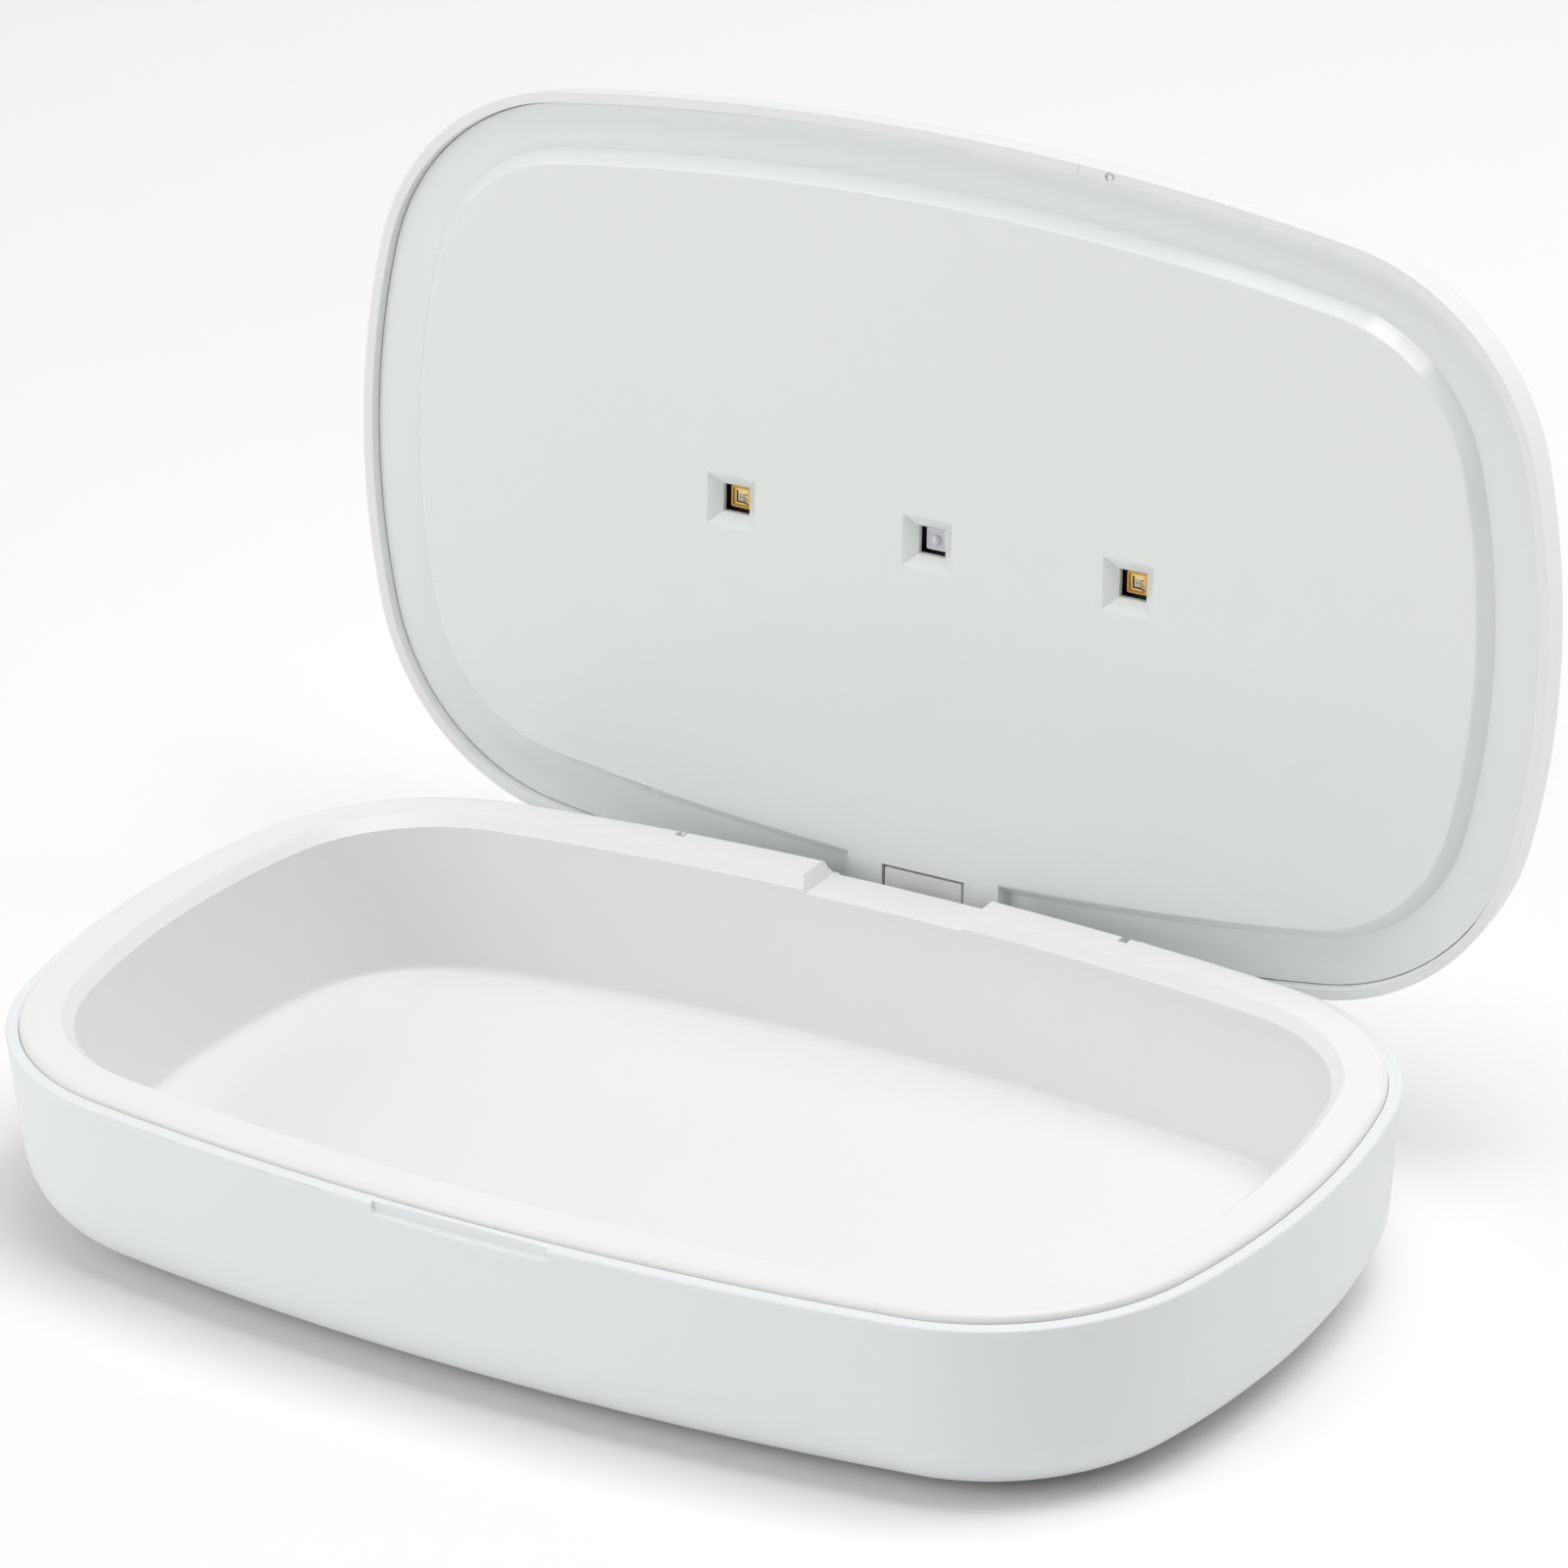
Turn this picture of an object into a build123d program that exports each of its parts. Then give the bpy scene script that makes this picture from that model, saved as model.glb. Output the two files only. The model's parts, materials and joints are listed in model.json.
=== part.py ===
from build123d import *
import math
import os

os.makedirs("parts", exist_ok=True)

# ---------------------------------------------------------------------------
# Sanitizer box for phones: a shallow tub with a raised rim in an outer bowl,
# and a lid of the same outline on a central hinge at the rear.
# Millimetres. +X is along the length, +Y is to the hinge side, +Z is up.
# The sections below are laid out from the middle of the base; the finished
# pieces then move by STAND_Y, so that the origin is the middle of the whole
# box as it stands open, on the plane the feet stand on.
# ---------------------------------------------------------------------------

# outline of the box, seen from above: four shallow sides and four corners,
# all tangent circular arcs
HALF_LENGTH = 104.0
HALF_WIDTH = 64.4
SIDE_RADIUS = 466.6
END_RADIUS = 133.65
CORNER_RADIUS = 38.3

# heights
RIM_Z = 31.2            # top edge of the outer bowl
FOOT_PROUD = 1.2        # feet below the bowl
BOWL_DEPTH = RIM_Z - FOOT_PROUD
BOWL_DRAFT = 5.34
BOWL_FILLET = 12.4
BOWL_WALL = 2.0

# tub and its raised rim
SEAM = 0.1
RIM_INSET = BOWL_WALL + SEAM
RIM_PROUD = 1.4
RIM_UNDER = 1.3
TUB_INSET = 10.3        # tub wall at the bowl's edge plane
TUB_WALL = 1.4
TUB_DRAFT = 4.5
TUB_DEPTH = 24.4
TUB_FLOOR = 1.6
LIP_CHAMFER = 1.7       # sloping inner edge of the rim

# lid, in its closed place
LID_GAP = 0.5           # ring face above the bowl's edge
LID_HEIGHT = 10.4
LID_DRAFT = 7.5
LID_FILLET = 6.0
LID_WALL = 1.6
PANEL_RECESS = 1.5
PANEL_SHEET = 1.5
PANEL_INSET = 1.9
PLATEAU_PROUD = 0.9
PLATEAU_A, PLATEAU_B, PLATEAU_Y = 92.6, 53.3, -0.2
PLATEAU_SLOPE = 1.9

# from the middle of the base to the middle of the open box
STAND_Y = 10.92

# hinge
PIVOT_Y = 60.36
PIVOT_Z = RIM_Z - 5.44
OPEN_ANGLE = 94.55
BARREL_R = 2.8
BUSH_R = 2.0
BUSH_BORE = 1.34
PIN_R = 1.3
PIN_BORE = 0.75
ARM_HALF = 11.0
EAR_IN, EAR_OUT = 11.4, 13.0
NOTCH_TOP, NOTCH_BOTTOM = 15.1, 13.8
NOTCH_DROP = 0.8
RELIEF_HALF = 40.5

# lamps
LED_PITCH = 34.9
LED_X0, LED_Y0 = -0.6, 0.35
LED_SIZE = 3.5
LED_HEIGHT = 1.2
HOLE_X, HOLE_Y = 4.7, 4.5
BOARD_Z = 3.2           # lamp side of the lamp board above the ring face
BOARD_T = 1.2

# start button on the lid's outer face
BUTTON_Y = -28.0
BUTTON_R = 6.9
BUTTON_TRAVEL = 0.4

# power socket in the rear wall
PORT_X = 52.0
PORT_Z = RIM_Z - 15.5
MAIN_T = 1.2            # main board, standing on edge behind the tub
MAIN_HALF = 20.0
MAIN_Z0, MAIN_Z1 = 8.0, 26.0
MAIN_BACK = -8.5        # its tub side, from the outline


def corner_centre(a, b, rs, re, rc):
    c1x, c1y = 0.0, b - rs
    c2x, c2y = a - re, 0.0
    r1, r2 = rs - rc, re - rc
    d = math.hypot(c2x - c1x, c2y - c1y)
    k = (r1 * r1 - r2 * r2 + d * d) / (2 * d)
    h = math.sqrt(r1 * r1 - k * k)
    ux, uy = (c2x - c1x) / d, (c2y - c1y) / d
    return c1x + k * ux + h * uy, c1y + k * uy - h * ux


def outline(inset=0.0, a=HALF_LENGTH, b=HALF_WIDTH, rs=SIDE_RADIUS,
            re=END_RADIUS, rc=CORNER_RADIUS, z=0.0, yc=0.0):
    """Face of the box outline, moved in by inset, at height z."""
    cx, cy = corner_centre(a, b, rs, re, rc)
    rs_, re_, rc_ = rs - inset, re - inset, rc - inset
    c1y, c2x = b - rs, a - re
    t1 = math.atan2(cy - c1y, cx)
    t2 = math.atan2(cy, cx - c2x)
    ex, ey = c2x + re_ * math.cos(t2), re_ * math.sin(t2)
    sx, sy = rs_ * math.cos(t1), c1y + rs_ * math.sin(t1)
    tm = 0.5 * (t1 + t2)
    mx, my = cx + rc_ * math.cos(tm), cy + rc_ * math.sin(tm)

    def p(x, y):
        return (x, y + yc, z)

    edges = [
        ThreePointArc(p(ex, -ey), p(c2x + re_, 0), p(ex, ey)),
        ThreePointArc(p(ex, ey), p(mx, my), p(sx, sy)),
        ThreePointArc(p(sx, sy), p(0, c1y + rs_), p(-sx, sy)),
        ThreePointArc(p(-sx, sy), p(-mx, my), p(-ex, ey)),
        ThreePointArc(p(-ex, ey), p(-c2x - re_, 0), p(-ex, -ey)),
        ThreePointArc(p(-ex, -ey), p(-mx, -my), p(-sx, -sy)),
        ThreePointArc(p(-sx, -sy), p(0, -c1y - rs_), p(sx, -sy)),
        ThreePointArc(p(sx, -sy), p(mx, -my), p(ex, -ey)),
    ]
    return Face(Wire(edges))


def block(x0, x1, y0, y1, z0, z1):
    return Pos((x0 + x1) / 2, (y0 + y1) / 2, (z0 + z1) / 2) * Box(x1 - x0, y1 - y0, z1 - z0)


def rod(x, y, z0, z1, r):
    return Pos(x, y, (z0 + z1) / 2) * Cylinder(r, z1 - z0)


def rod_x(x0, x1, y, z, r):
    return Pos((x0 + x1) / 2, y, z) * Rot(0, 90, 0) * Cylinder(r, x1 - x0)


def rod_y(x, y0, y1, z, r):
    return Pos(x, (y0 + y1) / 2, z) * Rot(90, 0, 0) * Cylinder(r, y1 - y0)


def down(face, depth, taper=0.0):
    return extrude(face, amount=depth, dir=(0, 0, -1), taper=taper)


def up(face, height, taper=0.0):
    return extrude(face, amount=height, dir=(0, 0, 1), taper=taper)


def edges_at(part, z, tol=0.02):
    return [e for e in part.edges() if abs(e.bounding_box().min.Z - z) < tol
            and abs(e.bounding_box().max.Z - z) < tol]


def section_x(points, x0, x1):
    """Prism along X of a closed outline given as (y, z) points."""
    wire = Polyline([(x0, y, z) for y, z in points], close=True)
    return extrude(Face(Wire(wire.edges())), amount=x1 - x0, dir=(1, 0, 0))


def screw_up(x, y, z_head, head_r, head_h, r, length):
    """Screw driven upward: head at the bottom, cross recess in it."""
    s = rod(x, y, z_head, z_head + head_h, head_r) + rod(x, y, z_head + head_h - 0.01, z_head + head_h + length, r)
    s -= block(x - head_r * 0.6, x + head_r * 0.6, y - 0.25, y + 0.25, z_head - 1, z_head + head_h * 0.5)
    s -= block(x - 0.25, x + 0.25, y - head_r * 0.6, y + head_r * 0.6, z_head - 1, z_head + head_h * 0.5)
    return s


def screw_down(x, y, z_head, head_r, head_h, r, length):
    """Screw driven downward: head on top."""
    s = rod(x, y, z_head - head_h, z_head, head_r) + rod(x, y, z_head - head_h - length, z_head - head_h + 0.01, r)
    s -= block(x - head_r * 0.6, x + head_r * 0.6, y - 0.25, y + 0.25, z_head - head_h * 0.5, z_head + 1)
    s -= block(x - 0.25, x + 0.25, y - head_r * 0.6, y + head_r * 0.6, z_head - head_h * 0.5, z_head + 1)
    return s


def solids_of(shape):
    return [s for s in shape.solids()]


nodes = {}


def keep(name, shape):
    s = solids_of(shape)
    nodes[name] = s[0] if len(s) == 1 else Compound(children=s)


# ---------------------------------------------------------------------------
# base: outer bowl
# ---------------------------------------------------------------------------
floor_in = FOOT_PROUD + BOWL_WALL          # inside floor of the bowl
bowl_outer = down(outline(0.0, z=RIM_Z), BOWL_DEPTH, BOWL_DRAFT)
bowl_outer = fillet(edges_at(bowl_outer, FOOT_PROUD), BOWL_FILLET)
bowl_inner = down(outline(BOWL_WALL, z=RIM_Z), BOWL_DEPTH - BOWL_WALL, BOWL_DRAFT)
bowl_inner = fillet(edges_at(bowl_inner, floor_in), BOWL_FILLET - BOWL_WALL)
bowl_cut = bowl_inner + up(outline(BOWL_WALL, z=RIM_Z - 0.01), 1.0)

bowl_outer = fillet(edges_at(bowl_outer, RIM_Z), 0.4)
bowl = bowl_outer - bowl_cut

# screw places under the feet
FEET = [(-64.0, -37.0), (64.0, -37.0), (-64.0, 37.0), (64.0, 37.0)]
FOOT_R, FOOT_SINK = 6.0, 0.5
for fx, fy in FEET:
    bowl -= rod(fx, fy, FOOT_PROUD - 1, FOOT_PROUD + FOOT_SINK, FOOT_R + 0.1)
    bowl -= rod(fx, fy, FOOT_PROUD, FOOT_PROUD + 4, 1.5)

# finger scoop under the lip at the front: its floor slopes outward
scoop = section_x([(-HALF_WIDTH - 2.0, RIM_Z + 1), (-HALF_WIDTH + 0.95, RIM_Z + 1),
                   (-HALF_WIDTH + 0.95, RIM_Z - 1.6), (-HALF_WIDTH - 2.0, RIM_Z - 4.1)], -15.0, 15.0)
scoop = fillet([e for e in scoop.edges() if e.bounding_box().size.Y > 2
                and e.bounding_box().max.Z < RIM_Z - 1.5], 0.8)
bowl -= scoop

# rear: the wall is lower behind the hinge, with a deep slot for the arm
relief = block(-RELIEF_HALF, RELIEF_HALF, 55.0, 70.0, RIM_Z - 1.6, RIM_Z + 4)
relief = fillet([e for e in relief.edges() if e.bounding_box().size.Y > 2
                 and e.bounding_box().max.Z < RIM_Z], 1.4)
bowl -= relief
bowl -= block(-13.7, 13.7, 58.0, 70.0, PIVOT_Z - 4.25, RIM_Z + 2)

# power socket opening with a shallow flat recess round it; port_at puts a
# shape made with +Y outward and the outline at y = 0 in its place
port_at = Pos(PORT_X, HALF_WIDTH - SIDE_RADIUS + math.sqrt(SIDE_RADIUS ** 2 - PORT_X ** 2), 0) * Rot(
    0, 0, -math.degrees(math.asin(PORT_X / SIDE_RADIUS)))


def slot_y(x0, x1, y0, y1, z0, z1, r):
    b = block(x0, x1, y0, y1, z0, z1)
    return fillet(b.edges().filter_by(Axis.Y), r)


bowl -= port_at * slot_y(-4.75, 4.75, -8.0, 5.0, PORT_Z - 1.9, PORT_Z + 1.9, 1.8)
bowl -= port_at * slot_y(-6.8, 6.8, -2.0, 5.0, PORT_Z - 3.7, PORT_Z + 3.7, 3.2)

# two slotted ribs that hold the main board on edge
ribs = Part()
for s_ in (-1, 1):
    rib = block(min(s_ * 18.7, s_ * 21.7), max(s_ * 18.7, s_ * 21.7), -9.0, -1.2, FOOT_PROUD + 0.5,
                MAIN_Z1 if s_ > 0 else PIVOT_Z - 6.0)
    rib -= block(-MAIN_HALF - 0.1, MAIN_HALF + 0.1, MAIN_BACK - 0.06, MAIN_BACK + MAIN_T + 0.06, MAIN_Z0 - 0.02, 40)
    ribs += rib
bowl += (port_at * ribs) & bowl_outer
keep("base_outer_shell", bowl)

# ---------------------------------------------------------------------------
# base: inner tub with its raised rim
# ---------------------------------------------------------------------------
slope = math.tan(math.radians(TUB_DRAFT))
tub_floor_z = RIM_Z - TUB_DEPTH
rim_top = RIM_Z + RIM_PROUD

rim = up(outline(RIM_INSET, z=RIM_Z - RIM_UNDER), RIM_UNDER + RIM_PROUD)
rim = fillet(edges_at(rim, rim_top), 1.1)
tub_body = down(outline(TUB_INSET - TUB_WALL, z=RIM_Z), TUB_DEPTH + TUB_FLOOR, TUB_DRAFT)
tub_body = fillet(edges_at(tub_body, tub_floor_z - TUB_FLOOR), 4.5)
tub = rim + tub_body

# thick bridge under the rear notch, and skirts that close the swing gap
tub += block(-16.7, 16.7, 51.0, 61.9, RIM_Z - 2.35, RIM_Z - 0.5)
skirt = down(outline(RIM_INSET + 0.2, z=RIM_Z - 0.3), 3.2) - down(outline(RIM_INSET + 1.4, z=RIM_Z), 6.0)
for sx0, sx1 in ((-42.0, -13.9), (13.9, 42.0)):
    tub += skirt & block(sx0, sx1, 50.0, 66.0, RIM_Z - 4, RIM_Z)
BRACKET_SCREWS = [(-18.4, 57.0), (18.4, 57.0)]
bracket_z = PIVOT_Z - 3.6                  # top of the bracket wings
for bx, by in BRACKET_SCREWS:
    tub += rod(bx, by, bracket_z, RIM_Z - 0.5, 2.4)

# bosses under the floor for the base screws
for fx, fy in FEET:
    tub += rod(fx, fy, floor_in + 0.1, tub_floor_z - TUB_FLOOR + 0.6, 3.4)

cavity = down(outline(TUB_INSET - RIM_PROUD * slope, z=rim_top), RIM_PROUD + TUB_DEPTH, TUB_DRAFT)
cavity = fillet(edges_at(cavity, tub_floor_z), 1.3)
tub -= cavity

inner_lip = [e for e in edges_at(tub, rim_top)
             if e.center().length > 0 and e.distance_to(cavity) < 1e-3]
tub = chamfer(inner_lip, LIP_CHAMFER)
crease = [e for e in edges_at(tub, rim_top) if e.distance_to(cavity) < LIP_CHAMFER * 1.05]
tub = fillet(crease, 0.5)

# notch in the rear rim for the lid's tongue
notch = Polyline([(-NOTCH_TOP, 0, rim_top), (-NOTCH_TOP - 0.6, 0, rim_top + 1), (NOTCH_TOP + 0.6, 0, rim_top + 1),
                  (NOTCH_TOP, 0, rim_top), (NOTCH_BOTTOM, 0, RIM_Z - NOTCH_DROP),
                  (-NOTCH_BOTTOM, 0, RIM_Z - NOTCH_DROP)], close=True)
notch = extrude(Pos(0, 50.0, 0) * Face(Wire(notch.edges())), amount=20.0, dir=(0, 1, 0))
tub -= notch
setback = up(outline(RIM_INSET - 1, z=RIM_Z - 0.2), 3.0) - up(outline(RIM_INSET + 0.45, z=RIM_Z - 1), 5.0)
tub -= setback & block(-40.0, 40.0, 50.0, 70.0, RIM_Z - 0.2, RIM_Z + 3)
slots = up(outline(RIM_INSET - 1, z=RIM_Z - 0.4), 3.0) - up(outline(RIM_INSET + 2.3, z=RIM_Z - 1), 5.0)
for sx in (-1, 1):
    tub -= slots & block(min(sx * 38.6, sx * 40.2), max(sx * 38.6, sx * 40.2), 50.0, 70.0, RIM_Z - 0.4, RIM_Z + 3)
for bx, by in BRACKET_SCREWS:
    tub -= rod(bx, by, bracket_z - 1, RIM_Z - 2.0, 0.95)
for fx, fy in FEET:
    tub -= rod(fx, fy, floor_in - 1, tub_floor_z - 0.5, 1.05)
keep("base_inner_tub", tub)

# ---------------------------------------------------------------------------
# base: feet, screws, boards
# ---------------------------------------------------------------------------
feet = Part()
for fx, fy in FEET:
    f = rod(fx, fy, 0.0, FOOT_PROUD + FOOT_SINK - 0.05, FOOT_R)
    f = fillet(edges_at(f, 0.0), 0.6)
    feet += f
keep("rubber_feet", feet)

screws = Part()
for fx, fy in FEET:
    screws += screw_up(fx, fy, FOOT_PROUD + FOOT_SINK, 1.45, 1.3, 1.0, 3.0)
keep("base_screws", screws)

face_y = MAIN_BACK + MAIN_T
keep("main_board", port_at * block(-MAIN_HALF, MAIN_HALF, MAIN_BACK, face_y, MAIN_Z0, MAIN_Z1))

PORT_MOUTH = -2.0
port = slot_y(-4.47, 4.47, face_y, PORT_MOUTH, PORT_Z - 1.63, PORT_Z + 1.63, 1.5)
port -= slot_y(-4.17, 4.17, face_y + 0.6, PORT_MOUTH + 1, PORT_Z - 1.33, PORT_Z + 1.33, 1.25)
port += block(-3.35, 3.35, face_y + 0.3, PORT_MOUTH - 0.6, PORT_Z - 0.35, PORT_Z + 0.35)
keep("usb_socket", port_at * port)

chips = block(-16.0, -11.0, face_y, face_y + 1.0, 12.0, 17.0)
chips += block(8.5, 12.5, face_y, face_y + 1.2, 18.5, 21.5)
chips += block(9.0, 13.0, face_y, face_y + 1.8, 11.0, 15.0)
keep("control_chips", port_at * chips)

header = block(-16.0, -11.0, face_y, face_y + 3.2, 20.0, 24.4) - block(-15.4, -11.6, face_y + 0.8, face_y + 4, 20.6, 23.8)
keep("wire_header", port_at * header)

# lid sensor, at the board's top edge, close under the rim
keep("lid_sensor", port_at * (block(8.0, 12.0, face_y, face_y + 1.5, 24.4, 27.6)
                              + block(9.6, 10.4, face_y, face_y + 0.5, 22.6, 24.5)))

# ---------------------------------------------------------------------------
# hinge, base side
# ---------------------------------------------------------------------------
PLATE_Y0, PLATE_Y1 = 55.35, 56.15
ear_profile = [(PLATE_Y0, PIVOT_Z - 3.6), (60.4, PIVOT_Z - 3.6), (62.0, PIVOT_Z - 2.0), (62.5, PIVOT_Z),
               (62.0, PIVOT_Z + 1.6), (60.9, PIVOT_Z + 2.4), (PLATE_Y0, PIVOT_Z + 2.4)]
bracket = section_x(ear_profile, EAR_IN, EAR_OUT) + section_x(ear_profile, -EAR_OUT, -EAR_IN)
bracket += block(-EAR_OUT, EAR_OUT, PLATE_Y0, PLATE_Y1, PIVOT_Z - 3.6, PIVOT_Z + 2.4)
for s_ in (-1, 1):
    bracket += block(min(s_ * EAR_IN, s_ * 21.0), max(s_ * EAR_IN, s_ * 21.0), 54.9, 59.3, bracket_z - 1.2, bracket_z)
bracket -= rod_x(-EAR_OUT - 1, EAR_OUT + 1, PIVOT_Y, PIVOT_Z, PIN_R)
for bx, by in BRACKET_SCREWS:
    bracket -= rod(bx, by, bracket_z - 3, bracket_z + 1, 1.15)
keep("hinge_bracket", bracket)

hs = Part()
for bx, by in BRACKET_SCREWS:
    hs += screw_up(bx, by, bracket_z - 1.2 - 1.2, 1.9, 1.2, 0.9, 5.0)
keep("bracket_screws", hs)

pin = rod_x(-EAR_OUT - 0.5, EAR_OUT + 0.6, PIVOT_Y, PIVOT_Z, PIN_R)
pin += rod_x(-EAR_OUT - 0.6, -EAR_OUT, PIVOT_Y, PIVOT_Z, 1.75)
pin -= rod_x(-EAR_OUT - 2, EAR_OUT + 2, PIVOT_Y, PIVOT_Z, PIN_BORE)
keep("hinge_pin", pin)

# torsion spring round the middle of the pin: one leg rests on the bracket's
# plate, the other lies along the arm's neck
SPRING_R, SPRING_WIRE = 1.75, 0.2
helix = Helix(pitch=0.6, height=6.0, radius=SPRING_R)
helix = Pos(-3.0, PIVOT_Y, PIVOT_Z) * Rot(0, 90, 0) * helix
spring = sweep(Plane(origin=helix @ 0, z_dir=helix % 0) * Circle(SPRING_WIRE), path=Wire(helix.edges()), is_frenet=True)
for end in (0, 1):
    e, t = helix @ end, helix % end
    out = Vector(0, t.Y, t.Z).normalized() * (-1 if end == 0 else 1)
    leg = Solid.make_cylinder(SPRING_WIRE, 2.6, Plane(origin=e - out * 0.05, z_dir=out))
    spring += leg
keep("hinge_spring", spring)

# ---------------------------------------------------------------------------
# lid, in its closed place; ring face at LID_Z
# ---------------------------------------------------------------------------
LID_Z = RIM_Z + LID_GAP
lid_top = LID_Z + LID_HEIGHT
lid_outer = up(outline(0.0, z=LID_Z), LID_HEIGHT, LID_DRAFT)
lid_outer = fillet(edges_at(lid_outer, lid_top), LID_FILLET)
lid_inner = up(outline(LID_WALL, z=LID_Z), LID_HEIGHT - LID_WALL, LID_DRAFT)
lid_inner = fillet(edges_at(lid_inner, lid_top - LID_WALL), LID_FILLET - LID_WALL)
lid_shell = lid_outer - (lid_inner + down(outline(LID_WALL, z=LID_Z + 0.01), 1.0))
# arm notch in the rear wall
lid_shell -= block(-ARM_HALF - 0.2, ARM_HALF + 0.2, 60.0, 70.0, LID_Z - 1, LID_Z + PANEL_RECESS + 1.85)
# button and light ring opening
RING_R = 8.6
lid_shell -= rod(0, BUTTON_Y, lid_top - LID_WALL - 1, lid_top + 1, RING_R)
# posts for the hinge arm screws
ARM_SCREWS = [(-4.2, 57.4), (4.2, 57.4)]
arm_top = LID_Z + 2.6
lp = Part()
for ax, ay in ARM_SCREWS:
    lp += rod(ax, ay, arm_top, lid_top, 2.4)
lid_shell += lp & lid_outer
for ax, ay in ARM_SCREWS:
    lid_shell -= rod(ax, ay, arm_top - 1, arm_top + 4.4, 0.95)

# inner panel: flat margin, raised plateau, tongue to the hinge
pz = LID_Z + PANEL_RECESS
plat_z = LID_Z - PLATEAU_PROUD
rise = PANEL_RECESS + PLATEAU_PROUD
sl = math.degrees(math.atan(PLATEAU_SLOPE / rise))


def plateau_face(inset, z):
    return outline(inset, a=PLATEAU_A, b=PLATEAU_B, rs=455.0, re=121.0, rc=26.5, z=z, yc=PLATEAU_Y)


def tongue(half, z0, z1, y0, y1, flare):
    pts = [(-half, 0, z0), (half, 0, z0), (half + flare, 0, z1), (-half - flare, 0, z1)]
    w = Polyline(pts, close=True)
    return extrude(Pos(0, y0, 0) * Face(Wire(w.edges())), amount=y1 - y0, dir=(0, 1, 0))


margin = up(outline(PANEL_INSET, z=pz), PANEL_SHEET, LID_DRAFT)
margin = fillet(edges_at(margin, pz), 0.2)
plateau = down(plateau_face(-PLATEAU_SLOPE, pz), rise, sl)
plateau = fillet(edges_at(plateau, plat_z), 0.45)
TONGUE_END = 62.1
tong = tongue(13.4, plat_z, pz, 50.0, TONGUE_END, 0.9)
panel = margin + plateau + tong
hollow = down(plateau_face(-PLATEAU_SLOPE + PANEL_SHEET, pz + PANEL_SHEET), rise, sl)
panel -= hollow
panel -= tongue(13.4 - 1.2, plat_z + PANEL_SHEET, pz + PANEL_SHEET + 0.01, 50.0, TONGUE_END - 1.2, 0.9)
# rear edge open for the arm
panel -= block(-ARM_HALF - 0.2, ARM_HALF + 0.2, TONGUE_END + 0.0, 66.0, pz - 1, pz + PANEL_SHEET + 1)
panel -= block(-ARM_HALF - 0.2, ARM_HALF + 0.2, 60.5, 66.0, plat_z + PANEL_SHEET, pz + PANEL_SHEET + 1)
# window for the hinge cover
COVER_HALF, COVER_Y0, COVER_Y1 = 7.3, 53.75, 61.3
panel -= block(-COVER_HALF, COVER_HALF, COVER_Y0, COVER_Y1, plat_z - 1, plat_z + PANEL_SHEET + 1)

# lamp funnels
LEDS = [LED_X0 - LED_PITCH, LED_X0, LED_X0 + LED_PITCH]
FUNNEL = 1.95
COLLAR = 0.85           # straight wall behind each funnel
for lx in LEDS:
    f = loft([Pos(lx, LED_Y0, plat_z - 0.001) * Rectangle(HOLE_X + 2 * FUNNEL, HOLE_Y + 2 * FUNNEL),
              Pos(lx, LED_Y0, plat_z + PANEL_SHEET + 0.2) * Rectangle(HOLE_X, HOLE_Y)])
    wall = block(lx - HOLE_X / 2 - FUNNEL - 1, lx + HOLE_X / 2 + FUNNEL + 1, LED_Y0 - HOLE_Y / 2 - FUNNEL - 1,
                 LED_Y0 + HOLE_Y / 2 + FUNNEL + 1, plat_z + 0.5, plat_z + PANEL_SHEET + 0.2)
    collar = block(lx - HOLE_X / 2 - 0.8, lx + HOLE_X / 2 + 0.8, LED_Y0 - HOLE_Y / 2 - 0.8, LED_Y0 + HOLE_Y / 2 + 0.8,
                   plat_z + PANEL_SHEET, plat_z + PANEL_SHEET + 0.2 + COLLAR)
    panel += wall + collar
    panel -= f
    panel -= block(lx - HOLE_X / 2, lx + HOLE_X / 2, LED_Y0 - HOLE_Y / 2, LED_Y0 + HOLE_Y / 2,
                   plat_z + PANEL_SHEET, plat_z + PANEL_SHEET + 0.3 + COLLAR)
# board posts
BOARD_SCREWS = [(-44.0, 7.0), (44.0, 7.0), (-44.0, -7.0), (44.0, -7.0)]
board_z = LID_Z + BOARD_Z
for bx, by in BOARD_SCREWS:
    panel += rod(bx, by, plat_z + 0.7, board_z, 2.2)
for bx, by in BOARD_SCREWS:
    panel -= rod(bx, by, board_z - 2.6, board_z + 1, 0.8)

# inset strip on the front ring, where the ring is a little wider, with a
# moulded vent: a round groove about a small pip
STRIP_X0, STRIP_X1 = 4.2, 30.3
STRIP_Y = -61.5
panel -= block(STRIP_X0 - 0.1, STRIP_X1 + 0.1, -66.0, STRIP_Y + 0.08, pz - 1, pz + PANEL_SHEET + 1)
pad = block(STRIP_X0, STRIP_X1, -64.2, STRIP_Y, LID_Z + 1.2, LID_Z + 2.9) & lid_outer
lid_shell += pad
lid_shell -= block(23.2, 23.32, -64.0, STRIP_Y + 1, LID_Z - 1, LID_Z + 0.12)
lid_shell -= rod(28.6, -62.55, LID_Z - 1, LID_Z + 0.45, 0.85) - rod(28.6, -62.55, LID_Z + 0.1, LID_Z + 1, 0.4)

# snap hooks on the panel's back, in pockets of the lid's wall
c0x, c0y = corner_centre(HALF_LENGTH, HALF_WIDTH, SIDE_RADIUS, END_RADIUS, CORNER_RADIUS)


def on_side(x, sign):
    """Place on a long side: origin on the outline, +Y outward."""
    y = HALF_WIDTH - SIDE_RADIUS + math.sqrt(SIDE_RADIUS ** 2 - x * x)
    turn = math.degrees(math.asin(x / SIDE_RADIUS))
    return Pos(x, sign * y, 0) * Rot(0, 0, -turn if sign > 0 else 180 + turn)


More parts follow.
